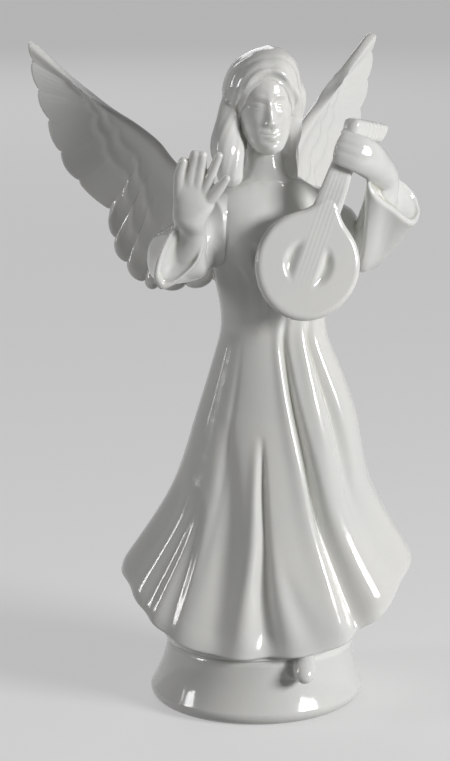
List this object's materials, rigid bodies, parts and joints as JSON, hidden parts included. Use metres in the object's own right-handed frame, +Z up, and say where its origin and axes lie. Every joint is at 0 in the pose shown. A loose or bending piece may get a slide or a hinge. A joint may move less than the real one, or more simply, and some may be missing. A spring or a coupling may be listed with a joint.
{
  "type": "angel figurine",
  "caption": "White glazed porcelain angel figurine on a round pedestal, with raised hand, feathered wings, long folded dress and a lute.",
  "frame": {"origin": "centre of the pedestal's flat foot", "axes": "+Z up, -Y towards the front of the skirt, +X towards the figure's left"},
  "size_m": [0.1503, 0.1321, 0.2527],
  "materials": {
    "white_glaze": "clear gloss glaze over white porcelain"
  },
  "bodies": {
    "root": {"pedestal": "white_glaze", "skirt": "white_glaze", "shoe": "white_glaze", "bodice": "white_glaze", "head": "white_glaze", "hair": "white_glaze", "hair_lock_right": "white_glaze", "hair_lock_left": "white_glaze", "right_wing": "white_glaze", "left_wing": "white_glaze", "right_sleeve": "white_glaze", "right_hand": "white_glaze", "left_sleeve": "white_glaze", "left_hand": "white_glaze", "lute_body": "white_glaze", "lute_neck": "white_glaze", "lute_pegbox": "white_glaze"}
  },
  "joints": []
}
